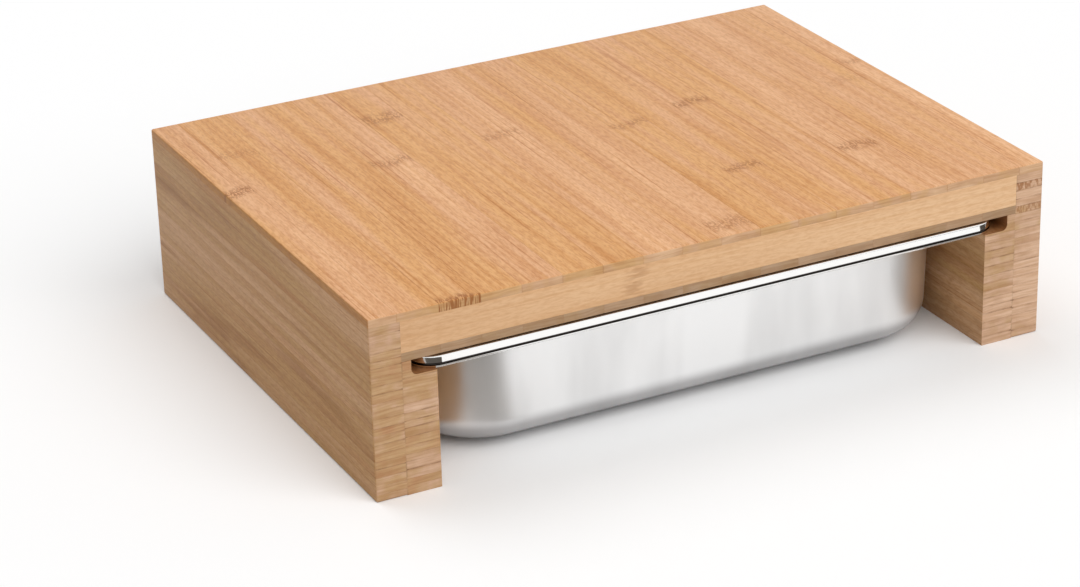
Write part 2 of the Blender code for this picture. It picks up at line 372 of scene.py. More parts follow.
def bamboo(
    name, grain, tones, strip_width, dash_lumps, contrast=1.0, end_tint=WHITE, painted_side_shade=WHITE,
    side_streaks=0.0, glue_plane=None, groove=None,
):
    """Bamboo whose grain runs along an axis.

    An end tint colours the ends of the strips. The side shade is painted shade that darkens their
    upright sides, where broad brown streaks can show as well. A glue plane is the distance from
    the middle of a joint between two stacks, and a groove is the place of its wall and its floor,
    which are darkened with painted shade.
    """
    material, tree, shader, coordinates = new_material(name)
    solid = coordinates.outputs["Object"]
    shift = tree.nodes.new("ShaderNodeVectorMath")
    feed(tree, shift.inputs[0], solid)
    feed(tree, shift.inputs[1], attribute(tree, "strip_offset").outputs["Vector"])
    place = shift.outputs[0]

    facing = split(tree, coordinates.outputs["Normal"])
    end = fade(tree, calc(tree, "ABSOLUTE", facing[GRAIN_AXES[grain]]), 0.6, 0.9)
    plain, colour, height = fibres(tree, solid, place, grain, tones, contrast)
    # Painted shade: upright sides are darkened by the side shade colour.
    side = fade(tree, calc(tree, "ABSOLUTE", facing[0]), 0.5, 0.9)
    colour = darken(tree, colour, side, painted_side_shade)
    brown = fade(tree, noise(tree, solid, along_grain(grain, *SIDE_STREAK_LUMPS), 3, 0.6, 0.4), 0.50, 0.68)
    brown = calc(tree, "MULTIPLY", brown, calc(tree, "MULTIPLY", side, side_streaks))
    colour = darken(tree, colour, brown, SIDE_STREAK_TINT)
    colour = mix(tree, end, colour, strip_ends(tree, solid, place, plain, grain, end_tint))
    colour = mix(tree, node_marks(tree, solid, place, grain, dash_lumps), colour, NODE_MARK_BROWN)
    glue = glue_between(tree, solid, end, strip_width, glue_plane)
    colour = mix(tree, glue, colour, GLUE_BROWN)
    # Painted shade: the groove's wall and floor are darkened.
    if groove:
        wall, floor = groove
        x, _, z = split(tree, solid)
        inside = fade(tree, calc(tree, "ABSOLUTE", x), wall + GROOVE_SHADE_DEPTH, wall)
        inside = calc(tree, "MULTIPLY", inside, fade(tree, z, floor - GROOVE_SHADE_DEPTH, floor))
        inside = calc(tree, "MULTIPLY", inside, calc(tree, "SUBTRACT", 1, end))
        colour = darken(tree, colour, inside, GROOVE_PAINTED_SHADE)

    feed(tree, shader.inputs["Base Color"], colour)
    rough = calc(tree, "MULTIPLY_ADD", height, FIBRE_ROUGHNESS, SANDED_ROUGHNESS)
    feed(tree, shader.inputs["Roughness"], rough)
    shader.inputs["Specular IOR Level"].default_value = OILED_SHEEN
    lasting = calc(tree, "MULTIPLY", height, calc(tree, "SUBTRACT", 1, end))
    emboss(tree, shader, lasting, BAMBOO_BUMP)
    return material


# %% [markdown]
# ## Reading the frame
# Every strip keeps the place that the frame gives it. The frame leaves a hair's breadth of glue
# line between neighbours. Here the strips meet in the middle of that line, as glued wood does.

# %% Places of the plies
EASED_EDGE_RADIUS = 0.0010
EASED_EDGE_SEGMENTS = 4
ARRIS_RADIUS = 0.0004
JOINT_VEE = 0.00008

LEFT, RIGHT = Vector((-1, 0, 0)), Vector((1, 0, 0))
FRONT, BACK = Vector((0, -1, 0)), Vector((0, 1, 0))
DOWN, UP = Vector((0, 0, -1)), Vector((0, 0, 1))


def numbered(label):
    return sorted(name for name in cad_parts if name.startswith(label))


def halfway(first, second):
    return (first + second) / 2


top_names = numbered("top_stave_")
bottom_names = numbered("bottom_stave_")
core_names = ["core_front_strip", "core_middle_panel", "core_back_strip"]

top_seam = halfway(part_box(top_names[0])[0].z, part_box(core_names[0])[1].z)
core_seam = halfway(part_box(core_names[0])[0].z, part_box(bottom_names[0])[1].z)
board_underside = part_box(bottom_names[0])[0].z
rebate_seam = halfway(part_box("right_leg_outer_ply")[0].x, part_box("right_leg_inner_ply")[1].x)
bay_half_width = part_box("right_leg_inner_ply")[0].x
print("seams at heights", round(top_seam, 5), round(core_seam, 5), "and", round(rebate_seam, 5))

# %% [markdown]
# ## Strips cut from a panel
# A bamboo board is glued up first, and then planed and eased as one piece. The strips are made in
# the same order: a block has its outside edges rounded with a bevel, and is then cut at each joint
# with bisect_plane. Each cut is closed again, and its rim gets a tiny bevel, so that two strips
# meet in a fine V that catches a little shade. Modelling each strip by itself would leave the
# rounding to be matched by hand from one strip to the next.

# %% Panel and strip helpers
SAME_WAY = 0.99


def block(low, high):
    shape = bmesh.new()
    bmesh.ops.create_cube(shape, size=1)
    bmesh.ops.scale(shape, vec=high - low, verts=shape.verts)
    bmesh.ops.translate(shape, vec=(low + high) / 2, verts=shape.verts)
    shape.normal_update()
    return shape


def ease(shape, sides, radius, segments):
    """Rounds every edge between two faces that both look along one of the given sides."""
    def shows(face):
        return any(face.normal.dot(side) > SAME_WAY for side in sides)

    edges = [edge for edge in shape.edges if all(shows(face) for face in edge.link_faces)]
    bmesh.ops.bevel(
        shape, geom=edges, offset=radius, offset_type="OFFSET", segments=segments,
        profile=0.5, affect="EDGES", material=-1, clamp_overlap=True,
    )
    shape.normal_update()


def saw(shape, direction, place):
    """Cuts off what lies past a place along a direction, and closes the cut."""
    cut = bmesh.ops.bisect_plane(
        shape,
        geom=shape.verts[:] + shape.edges[:] + shape.faces[:],
        plane_co=direction * place,
        plane_no=direction,
        clear_outer=True,
    )
    rim = [item for item in cut["geom_cut"] if isinstance(item, bmesh.types.BMEdge)]
    cap = bmesh.ops.edgeloop_fill(shape, edges=rim)["faces"]
    bmesh.ops.recalc_face_normals(shape, faces=shape.faces)
    edges = [edge for edge in shape.edges if any(face in cap for face in edge.link_faces)]
    bmesh.ops.bevel(
        shape, geom=edges, offset=JOINT_VEE, offset_type="OFFSET", segments=1,
        profile=0.5, affect="EDGES", material=-1, clamp_overlap=True,
    )
    shape.normal_update()


def strip_of(panel, direction, start, end):
    """The part of a panel between two joints. An end of None is the panel's own."""
    strip = panel.copy()
    if start is not None:
        saw(strip, -direction, -start)
    if end is not None:
        saw(strip, direction, end)
    return strip


# %% [markdown]
# Each strip's own numbers are written on its vertices: its tone, which may grow paler to the
# right, where in the noise it is cut from, how far a point is across it, which side was the
# stem's skin, how dark its glue lines are, and where a joint of the stem crosses it.

# %% Strip looks
NO_NODE = (9.0, 0.001, 0.0)
NOISE_SPREAD = 8.0
SHARP_ANGLE = math.radians(40)


def look_layers(shape):
    floats, vectors = shape.verts.layers.float, shape.verts.layers.float_vector
    return {
        "strip_tone": floats.new("strip_tone"),
        "strip_across": floats.new("strip_across"),
        "strip_skin": floats.new("strip_skin"),
        "strip_glue": floats.new("strip_glue"),
        "strip_offset": vectors.new("strip_offset"),
        "strip_node": vectors.new("strip_node"),
    }


def share_between(vertex, direction, low, high):
    place = vertex.co.dot(direction)
    return min(max((place - low) / (high - low), 0), 1)


def paint(verts, layers, look, joint_axis, skin_axis):
    """Writes a strip's look on its vertices."""
    reach = {}
    for axis_name, axis in (("joint", joint_axis), ("skin", skin_axis)):
        places = [vertex.co.dot(axis) for vertex in verts]
        reach[axis_name] = (min(places), max(places))
    for vertex in verts:
        across = share_between(vertex, joint_axis, *reach["joint"])
        skin = share_between(vertex, skin_axis, *reach["skin"])
        vertex[layers["strip_tone"]] = look["tone"] + look["paler_to_right"] * vertex.co.x
        vertex[layers["strip_across"]] = across
        vertex[layers["strip_skin"]] = skin if look["skin_up"] else 1 - skin
        vertex[layers["strip_glue"]] = look["glue"][0] * (1 - across) + look["glue"][1] * across
        vertex[layers["strip_offset"]] = look["offset"]
        vertex[layers["strip_node"]] = look["node"]


def new_look(draw, tone, glue, node=NO_NODE, paler_to_right=0.0):
    return {
        "tone": tone,
        "paler_to_right": paler_to_right,
        "skin_up": draw.random() < 0.5,
        "glue": glue,
        "offset": [draw.uniform(-NOISE_SPREAD, NOISE_SPREAD) for _ in range(3)],
        "node": node,
    }


def finish_piece(name, shape, material, slot, body, *nodes):
    """Turns a shape into a piece that rides on a body and stands for its CAD nodes."""
    mesh = bpy.data.meshes.new(name)
    shape.to_mesh(mesh)
    shape.free()
    mesh.materials.append(material)
    mesh.shade_smooth()
    mesh.set_sharp_from_angle(angle=SHARP_ANGLE)
    piece = bpy.data.objects.new(name, mesh)
    bpy.context.scene.collection.objects.link(piece)
    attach(piece, body)
    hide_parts(*nodes)
    return piece


def laminate(name, panel, direction, stretches, looks, skin_axis, material, slot, *nodes):
    """One piece made of the panel's strips, each a closed shape with its own look."""
    joined = bmesh.new()
    layers = look_layers(joined)
    for (start, end), look in zip(stretches, looks):
        strip = strip_of(panel, direction, start, end)
        mesh = bpy.data.meshes.new("strip")
        strip.to_mesh(mesh)
        strip.free()
        first = len(joined.verts)
        joined.from_mesh(mesh)
        bpy.data.meshes.remove(mesh)
        joined.verts.ensure_lookup_table()
        paint(joined.verts[first:], layers, look, direction, skin_axis)
    return finish_piece(name, joined, material, slot, "board", *nodes)


def glue_lines(draw, count, faint, dark):
    """How dark each joint of a ply is, with none at its two outside faces."""
    inner = [draw.uniform(faint, dark) for _ in range(count - 1)]
    return [0.0, *inner, 0.0]


# %% [markdown]
# ## The top ply
# Eighteen flat staves run from front to back. Their glue lines hardly show after sanding, and what
# tells them apart is their tone, from pinkish over orange to straw. A stem's joint crosses some of
# them. These marks catch the eye, so their places are chosen: the stave's number from the left,
# the distance from the board's middle towards the back, and how long and how dark the mark is.

# %% Top staves
TOP_TONES = [(0.67, 0.345, 0.140), (0.74, 0.410, 0.178), (0.75, 0.425, 0.232), (0.82, 0.485, 0.268)]
TOP_END_TINT = (0.93, 1.03, 1.13, 1)
# Painted shade on the top ply's upright sides
TOP_SIDE_PAINTED_SHADE = (0.70, 0.61, 0.38, 1)
TOP_NODE_MARKS = {
    1: (0.0340, 0.0065, 0.85),
    2: (0.0810, 0.0065, 0.34),
    3: (-0.1375, 0.0055, 1.00),
    5: (0.0310, 0.0060, 0.58),
    6: (0.0885, 0.0085, 0.70),
    8: (0.0350, 0.0060, 0.50),
    10: (-0.1240, 0.0085, 0.60),
    11: (0.0145, 0.0050, 0.58),
    12: (-0.0660, 0.0055, 0.68),
    13: (0.0260, 0.0058, 0.74),
    15: (-0.0690, 0.0075, 0.70),
    17: (0.0110, 0.0070, 0.26),
    18: (0.0325, 0.0055, 0.40),
}
TOP_TONE_LEFT, TOP_TONE_RIGHT, TOP_TONE_SPREAD = 0.42, 0.68, 0.18
STAVE_WIDTH = 0.0213
TOP_GLUE = (0.0, 0.30)

top_draw = random.Random(11)
top_bamboo = bamboo(
    "top_bamboo", "Y", TOP_TONES, STAVE_WIDTH, (1100, 380, 90),
    end_tint=TOP_END_TINT, painted_side_shade=TOP_SIDE_PAINTED_SHADE,
)
low, high = Vector(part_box(top_names[0])[0]), Vector(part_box(top_names[-1])[1])
low.z = top_seam
top_panel = block(low, high)
ease(top_panel, (LEFT, RIGHT, FRONT, BACK, UP), EASED_EDGE_RADIUS, EASED_EDGE_SEGMENTS)
top_joints = [halfway(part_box(a)[1].x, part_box(b)[0].x) for a, b in zip(top_names, top_names[1:])]
top_glue = glue_lines(top_draw, len(top_names), *TOP_GLUE)
for index, name in enumerate(top_names):
    stretch = ([None, *top_joints][index], [*top_joints, None][index])
    lean = TOP_TONE_LEFT + (TOP_TONE_RIGHT - TOP_TONE_LEFT) * index / (len(top_names) - 1)
    look = new_look(
        top_draw,
        lean + top_draw.uniform(-TOP_TONE_SPREAD, TOP_TONE_SPREAD),
        (top_glue[index], top_glue[index + 1]),
        TOP_NODE_MARKS.get(index + 1, NO_NODE),
    )
    laminate(
        f"{name}_bamboo", top_panel, RIGHT, [stretch], [look], UP, top_bamboo, "top_bamboo", name
    )
print("top staves:", len(top_names))

# %% [markdown]
# ## The core
# The strips of the middle ply run from side to side, so the board stays flat. The front one shows
# its broad face along the board's front edge, paler than the end grain above and below it. One
# end of so long a strip is rarely the same tone as the other, so it grows paler to the right.

# %% Core strips
CORE_TONES = [(0.67, 0.395, 0.205), (0.75, 0.460, 0.252), (0.82, 0.52, 0.292), (0.88, 0.575, 0.335)]
CORE_NODE_MARKS = {"core_front_strip": (-0.0460, 0.0070, 0.32)}
CORE_TONE, CORE_TONE_PER_METRE = 0.68, 2.1
CORE_STRIP_WIDTH = 0.006
NO_GLUE = (0.0, 0.0)

core_draw = random.Random(5)
core_bamboo = bamboo(
    "core_bamboo", "X", CORE_TONES, CORE_STRIP_WIDTH, (90, 120, 700), contrast=0.55
)
low = Vector((-rebate_seam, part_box(core_names[0])[0].y, core_seam))
high = Vector((rebate_seam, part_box(core_names[-1])[1].y, top_seam))
core_panel = block(low, high)
core_joints = [halfway(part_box(a)[1].y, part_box(b)[0].y) for a, b in zip(core_names, core_names[1:])]
for index, name in enumerate(core_names):
    stretch = ([None, *core_joints][index], [*core_joints, None][index])
    look = new_look(
        core_draw, CORE_TONE, NO_GLUE, CORE_NODE_MARKS.get(name, NO_NODE), CORE_TONE_PER_METRE
    )
    laminate(
        f"{name}_bamboo", core_panel, BACK, [stretch], [look], BACK, core_bamboo, "core_bamboo", name
    )
print("core pieces:", len(core_names))

# %% [markdown]
# ## The bottom ply
# It balances the top ply, so it is made of staves from front to back again. Its ends show as a
# thin darker band under the core, and its underside is what covers the tray.

# %% Bottom staves
BOTTOM_TONES = [(0.50, 0.29, 0.155), (0.55, 0.335, 0.18), (0.57, 0.36, 0.22), (0.62, 0.39, 0.235)]
BOTTOM_END_TINT = (0.845, 0.89, 0.915, 1)
BOTTOM_TONE_RANGE = (0.2, 0.9)
BOTTOM_GLUE = (0.0, 0.2)

bottom_draw = random.Random(23)
bottom_bamboo = bamboo(
    "bottom_bamboo", "Y", BOTTOM_TONES, STAVE_WIDTH, (900, 120, 120), end_tint=BOTTOM_END_TINT
)
low = Vector((-rebate_seam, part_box(bottom_names[0])[0].y, board_underside))
high = Vector((rebate_seam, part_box(bottom_names[-1])[1].y, core_seam))
bottom_panel = block(low, high)
ease(bottom_panel, (FRONT, BACK, DOWN), ARRIS_RADIUS, EASED_EDGE_SEGMENTS)
bottom_joints = [
    halfway(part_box(a)[1].x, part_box(b)[0].x) for a, b in zip(bottom_names, bottom_names[1:])
]
bottom_glue = glue_lines(bottom_draw, len(bottom_names), *BOTTOM_GLUE)
for index, name in enumerate(bottom_names):
    stretch = ([None, *bottom_joints][index], [*bottom_joints, None][index])
    look = new_look(
        bottom_draw,
        bottom_draw.uniform(*BOTTOM_TONE_RANGE),
        (bottom_glue[index], bottom_glue[index + 1]),
    )
    laminate(
        f"{name}_bamboo", bottom_panel, RIGHT, [stretch], [look], UP,
        bottom_bamboo, "bottom_bamboo", name,
    )
print("bottom staves:", len(bottom_names))

# %% [markdown]
# ## The legs
# Each leg is two stacks of thin strips laid flat. Strips are glued skin to skin or pith to pith as
# they come, so the dark joints on a leg's end are unevenly spaced. The inner stack has the groove
# for the tray's rim: its outline starts as a grid of four faces, one of which is taken away, and
# the corner that a round cutter leaves is a bevel on one vertex. Extruding that outline from front
# to back and cutting it into strips keeps the groove true through all of them.

# %% Leg sizes
STRIP_THICKNESS = 0.0043
STRIP_JITTER = 0.0005
STRIP_TONE_STEP = 0.28
STRAIGHT_ENOUGH = math.radians(1)
RIM_HEIGHT = 0.0060
RIM_REST_GAP = 0.0003
RIM_SIDE_CLEARANCE = 0.0040
GROOVE_CORNER_RADIUS = 0.0030
GROOVE_CORNER_SEGMENTS = 8

tray_low, tray_high = (Vector(corner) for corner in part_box("crumb_tray"))
tray_middle = (tray_low + tray_high) / 2
groove_wall = tray_high.x + RIM_SIDE_CLEARANCE
groove_floor = tray_high.z - RIM_HEIGHT - RIM_REST_GAP
print("groove wall at", round(groove_wall, 5), "and floor at", round(groove_floor, 5))

# %% Leg bamboo
LEG_TONES = [(0.60, 0.340, 0.180), (0.64, 0.415, 0.220), (0.73, 0.485, 0.330), (0.84, 0.580, 0.405)]
LEG_END_TINT = (0.97, 0.955, 0.94, 1)
# Painted shade on the legs' upright sides
LEG_SIDE_PAINTED_SHADE = (0.88, 0.79, 0.62, 1)
leg_bamboo = bamboo(
    "leg_bamboo", "Y", LEG_TONES, STRIP_THICKNESS, (900, 160, 330), contrast=0.85,
    end_tint=LEG_END_TINT, painted_side_shade=LEG_SIDE_PAINTED_SHADE, side_streaks=0.70, glue_plane=rebate_seam,
    groove=(groove_wall, groove_floor),
)
half_depth = -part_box("right_leg_outer_ply")[0].y
print("half the board's depth:", round(half_depth, 5))

# %% The inner stack's outline
AT_CORNER = 1e-6


def inner_ply_panel(side):
    """The inner stack as one solid: an outline with a rounded groove, drawn out to the back."""
    across = sorted((side * bay_half_width, side * groove_wall, side * rebate_seam))
    up = (0, groove_floor, board_underside)
    panel = bmesh.new()
    bmesh.ops.create_grid(panel, x_segments=2, y_segments=2, size=1)
    open_face = None
    for face in panel.faces:
        middle = face.calc_center_median()
        if middle.x * side < 0 and middle.y > 0:
            open_face = face
    for vertex in panel.verts:
        column, row = round(vertex.co.x) + 1, round(vertex.co.y) + 1
        vertex.co = (across[column], -half_depth, up[row])
    bmesh.ops.delete(panel, geom=[open_face], context="FACES")
    bmesh.ops.dissolve_faces(panel, faces=panel.faces[:], use_verts=False)
    bmesh.ops.dissolve_limit(
        panel, angle_limit=STRAIGHT_ENOUGH, verts=panel.verts[:], edges=panel.edges[:]
    )
    corner = [
        vertex for vertex in panel.verts
        if abs(abs(vertex.co.x) - groove_wall) < AT_CORNER
        and abs(vertex.co.z - groove_floor) < AT_CORNER
    ]
    bmesh.ops.bevel(
        panel, geom=corner, offset=GROOVE_CORNER_RADIUS, offset_type="OFFSET",
        segments=GROOVE_CORNER_SEGMENTS, profile=0.5, affect="VERTICES", material=-1,
        clamp_overlap=True,
    )
    drawn = bmesh.ops.extrude_face_region(panel, geom=panel.faces[:])["geom"]
    moved = [item for item in drawn if isinstance(item, bmesh.types.BMVert)]
    bmesh.ops.translate(panel, vec=(0, 2 * half_depth, 0), verts=moved)
    bmesh.ops.recalc_face_normals(panel, faces=panel.faces)
    panel.normal_update()
    return panel


# %% Stacks of strips
LEG_GLUE = (0.15, 0.85)
STRAY_MARK_REACH = (0.003, 0.006)
STRAY_MARK_STRENGTH = (0.0, 0.25)


def stacked(draw, top):
    """Stretches of a stack from the table up to its top, each a strip's uneven thickness."""
    count = round(top / STRIP_THICKNESS)
    joints = [
        top * index / count + draw.uniform(-STRIP_JITTER, STRIP_JITTER)
        for index in range(1, count)
    ]
    return list(zip([None, *joints], [*joints, None]))


def leg_looks(draw, stretches, mean_tone, marks):
    """Looks for a stack, in which a strip's tone is close to that of the strip below it."""
    glue = glue_lines(draw, len(stretches), *LEG_GLUE)
    tone = mean_tone
    looks = []
    for index in range(len(stretches)):
        tone = mean_tone + 0.5 * (tone - mean_tone) + draw.uniform(-STRIP_TONE_STEP, STRIP_TONE_STEP)
        node = marks.get(index + 1) or (
            draw.uniform(-half_depth, half_depth),
            draw.uniform(*STRAY_MARK_REACH),
            draw.uniform(*STRAY_MARK_STRENGTH),
        )
        looks.append(new_look(draw, tone, (glue[index], glue[index + 1]), node))
    return looks


# %% Both legs
RIGHT_OUTER_MARKS = {17: (-0.1375, 0.006, 0.60), 20: (-0.1375, 0.006, 0.75)}
for label, side, mean_tone, marks, seed in (
    ("left", -1, 0.40, {}, 31),
    ("right", 1, 0.80, RIGHT_OUTER_MARKS, 47),
):
    leg_draw = random.Random(seed)
    outside, inside = (RIGHT, LEFT) if side > 0 else (LEFT, RIGHT)
    low, high = (Vector(corner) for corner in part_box(f"{label}_leg_outer_ply"))
    if side > 0:
        low.x = rebate_seam
    else:
        high.x = -rebate_seam
    high.z = top_seam
    outer = block(low, high)
    ease(outer, (outside, FRONT, BACK, DOWN), EASED_EDGE_RADIUS, EASED_EDGE_SEGMENTS)
    stretches = stacked(leg_draw, high.z)
    laminate(
        f"{label}_leg_outer_strips", outer, UP, stretches,
        leg_looks(leg_draw, stretches, mean_tone, marks),
        UP, leg_bamboo, "leg_bamboo", f"{label}_leg_outer_ply",
    )
    inner = inner_ply_panel(side)
    ease(inner, (inside, FRONT, BACK, DOWN), EASED_EDGE_RADIUS, EASED_EDGE_SEGMENTS)
    stretches = stacked(leg_draw, board_underside)
    laminate(
        f"{label}_leg_inner_strips", inner, UP, stretches,
        leg_looks(leg_draw, stretches, mean_tone, {}),
        UP, leg_bamboo, "leg_bamboo", f"{label}_leg_inner_ply",
    )
    print(label, "leg:", len(stretches), "strips in the inner stack")

# %% [markdown]
# ## The steel tray
# A press draws the tray from one flat sheet, so every corner is a bend. It could be cut out of a
# block and beveled, but unlike radii meet here: a small one round the rim's corners and a large
# one down the wall. So the sheet is a loft. Each ring is a rectangle whose four corners are
# beveled, and ring is joined to ring point by point, because bridge_loops crosses over where two
# rings lie in one plane. Solidify then gives the sheet its thickness. Weighted normals keep the
# long flat faces flat up to the corners, or a mirror image would bend along the whole rim.

# %% Tray sizes
TRAY_SHEET = 0.0008
RIM_WIDTH = 0.0135
RIM_CORNER_RADIUS = 0.0125
RIM_BEND_RADIUS = 0.0010
HEM_HEIGHT = 0.0010
HEM_LINE_HEIGHT = 0.0011
HEM_LINE_DEPTH = 0.0006
SHOULDER_RADIUS = 0.0030
WALL_TAPER = 0.0015
WALL_CORNER_RADIUS = 0.0435
FLOOR_RADIUS = 0.0160

# %% Steel material
STEEL_BUMP = 0.00002
RIM_STEEL = (0.97, 0.97, 0.96, 1)
# Painted shade on the rim's up-facing top
RIM_TOP_PAINTED_SHADE = (0.78, 0.78, 0.79, 1)
# Painted shade in the hem's fold
HEM_LINE_PAINTED_SHADE = (0.06, 0.05, 0.045, 1)
# Painted shade on the lower bend
BEND_PAINTED_SHADE = (0.56, 0.55, 0.55, 1)
POLISH_FADE = 0.0015
CLOUD_LUMPS, BRUSH_LUMPS = (28, 28, 7), (1600, 1600, 12)
SATIN_ROUGHNESS, CLOUD_ROUGHNESS, BRUSH_ROUGHNESS = 0.25, 0.16, 0.10
RIM_ROUGHNESS, RIM_CLOUD_ROUGHNESS, RIM_TOP_ROUGHNESS = 0.05, 0.06, 0.12
DULL_STEEL, PALE_STEEL = (0.82, 0.82, 0.82), (0.95, 0.95, 0.95)


def drawn_steel():
    material, tree, shader, coordinates = new_material("drawn_steel")
    place = coordinates.outputs["Object"]
    height = split(tree, place)[2]
    rim_foot = tray_high.z - RIM_HEIGHT
    polished = fade(tree, height, rim_foot - POLISH_FADE, rim_foot)
    # Painted shade: a dark line along the middle of the hem's recess.
    line_middle = rim_foot + HEM_HEIGHT + HEM_LINE_HEIGHT / 2
    from_line = calc(tree, "ABSOLUTE", calc(tree, "SUBTRACT", height, line_middle))
    hem_shade_mask = fade(tree, from_line, 0.70 * HEM_LINE_HEIGHT, 0.55 * HEM_LINE_HEIGHT)
    # Painted shade: the tone darkens towards the bottom over the lower bend.
    bend_shade_mask = fade(tree, height, tray_low.z + FLOOR_RADIUS, tray_low.z + FLOOR_RADIUS / 2)
    clouds = noise(tree, place, CLOUD_LUMPS, 3)
    brushed = noise(tree, place, BRUSH_LUMPS, 2)
    satin = calc(tree, "MULTIPLY_ADD", clouds, CLOUD_ROUGHNESS, SATIN_ROUGHNESS)
    satin = calc(tree, "MULTIPLY_ADD", brushed, BRUSH_ROUGHNESS, satin)
    # Painted shade: the up-facing top of the polished rim is darkened, and made rougher.
    facing_up = fade(tree, split(tree, coordinates.outputs["Normal"])[2], 0.70, 0.95)
    on_rim = calc(tree, "MULTIPLY", facing_up, polished)
    bright = calc(tree, "MULTIPLY_ADD", clouds, RIM_CLOUD_ROUGHNESS, RIM_ROUGHNESS)
    bright = calc(tree, "MULTIPLY_ADD", on_rim, RIM_TOP_ROUGHNESS, bright)
    rough = tree.nodes.new("ShaderNodeMix")
    feed(tree, rough.inputs[0], polished)
    feed(tree, rough.inputs[2], satin)
    feed(tree, rough.inputs[3], bright)
    tone = ramp(tree, fade(tree, clouds, 0.32, 0.64), [DULL_STEEL, PALE_STEEL])
    tone = darken(tree, tone, bend_shade_mask, BEND_PAINTED_SHADE)
    tone = mix(tree, polished, tone, RIM_STEEL)
    tone = darken(tree, tone, on_rim, RIM_TOP_PAINTED_SHADE)
    tone = mix(tree, hem_shade_mask, tone, HEM_LINE_PAINTED_SHADE)
    shader.inputs["Metallic"].default_value = 1
    feed(tree, shader.inputs["Base Color"], tone)
    feed(tree, shader.inputs["Roughness"], rough.outputs[0])
    unpolished = calc(tree, "SUBTRACT", 1, polished)
    emboss(tree, shader, calc(tree, "MULTIPLY", brushed, unpolished), STEEL_BUMP)
    return material


# %% Rings of the tray
CORNER_SEGMENTS = 24
SMALL_BEND_SEGMENTS = 6
HEM_LINE_SEGMENTS = 8
FLOOR_BEND_SEGMENTS = 14


def rounded_ring(shape, half_width, half_depth, radius, height):
    """The points of a rectangle with beveled corners round the tray's middle, in their order."""
    made = bmesh.ops.create_grid(shape, x_segments=1, y_segments=1, size=1)["verts"]
    bmesh.ops.scale(shape, vec=(half_width, half_depth, 1), verts=made)
    bmesh.ops.translate(shape, vec=(tray_middle.x, tray_middle.y, height), verts=made)
    rounded = bmesh.ops.bevel(
        shape, geom=made, offset=radius, offset_type="OFFSET", segments=CORNER_SEGMENTS,
        profile=0.5, affect="VERTICES", material=-1, clamp_overlap=True,
    )
    face = rounded["verts"][0].link_faces[0]
    points = list(face.verts)
    bmesh.ops.delete(shape, geom=[face], context="FACES_ONLY")
    return points


def join_rings(shape, outer, inner):
    """A band of faces between two rings. They look up, or into the tray."""
    for points in zip(outer, outer[1:] + outer[:1], inner[1:] + inner[:1], inner):
        shape.faces.new(points)


def bend(radius, segments):
    """Steps round a quarter bend: how far it has gone across and down."""
    for step in range(segments + 1):
        angle = math.radians(90) * step / segments
        yield radius * math.sin(angle), radius * (1 - math.cos(angle))


def tray_rings():
    """Half width, half depth, corner radius and height of each ring, from the rim's lower edge in."""
    reach = (tray_high - tray_low) / 2

    def rim(inset, height):
        return (reach.x - inset, reach.y - inset, RIM_CORNER_RADIUS - inset, height)

    def wall(inset, height):
        gone = RIM_WIDTH + inset
        return (reach.x - gone, reach.y - gone, WALL_CORNER_RADIUS - inset, height)

    top, floor = tray_high.z, tray_low.z + TRAY_SHEET
    rings = [rim(0, top - RIM_HEIGHT)]
    for step in range(HEM_LINE_SEGMENTS + 1):
        share = step / HEM_LINE_SEGMENTS
        height = top - RIM_HEIGHT + HEM_HEIGHT + HEM_LINE_HEIGHT * share
        rings.append(rim(HEM_LINE_DEPTH * math.sin(math.pi * share), height))
    for across, down in reversed(list(bend(RIM_BEND_RADIUS, SMALL_BEND_SEGMENTS))):
        rings.append(rim(RIM_BEND_RADIUS - across, top - down))
    for across, down in bend(SHOULDER_RADIUS, SMALL_BEND_SEGMENTS):
        rings.append(wall(across - SHOULDER_RADIUS + TRAY_SHEET, top - down))
    radius = FLOOR_RADIUS - TRAY_SHEET
    for across, down in reversed(list(bend(radius, FLOOR_BEND_SEGMENTS))):
        rings.append(wall(WALL_TAPER + TRAY_SHEET + radius - across, floor + down))
    return rings


# %% The drawn sheet
FLAT_FACE_WEIGHT = 80

sheet = bmesh.new()
rings = [rounded_ring(sheet, *ring) for ring in tray_rings()]
for outer_ring, inner_ring in zip(rings, rings[1:]):
    join_rings(sheet, outer_ring, inner_ring)
tray_bottom = sheet.faces.new(rings[-1])
sheet.normal_update()
print("the tray's floor looks up:", tray_bottom.normal.z > 0.99)
tray = finish_piece("drawn_tray", sheet, drawn_steel(), "drawn_steel", "tray", "crumb_tray")
thickness = tray.modifiers.new("sheet", "SOLIDIFY")
thickness.thickness = TRAY_SHEET
thickness.offset = -1
thickness.use_even_offset = True
flatness = tray.modifiers.new("flat_faces_stay_flat", "WEIGHTED_NORMAL")
flatness.weight = FLAT_FACE_WEIGHT
flatness.keep_sharp = True
print("tray faces:", len(tray.data.polygons))

# %% [markdown]
# ## Floor and light
# The board stands on a white sweep. Two broad suns and a pale sky give soft light that is the same
# everywhere, so a colour renders about as it is written. What the camera and the steel see of the
# floor is nearly white, while the light that it throws back stays that of plain white paper.

# %% Floor
FLOOR_HALF_SIZE = 6.0
FLOOR_DROP = 0.00005
FLOOR_SEEN = (0.97, 0.97, 0.97, 1)
FLOOR_BOUNCE = (0.62, 0.62, 0.62, 1)


def seen_directly(tree):
    """1 for what the camera sees, straight or in a mirror or glass, and 0 for scattered light."""
    rays = tree.nodes.new("ShaderNodeLightPath")
    seen = calc(tree, "MAXIMUM", rays.outputs["Is Camera Ray"], rays.outputs["Is Glossy Ray"])
    return calc(tree, "MAXIMUM", seen, rays.outputs["Is Transmission Ray"])


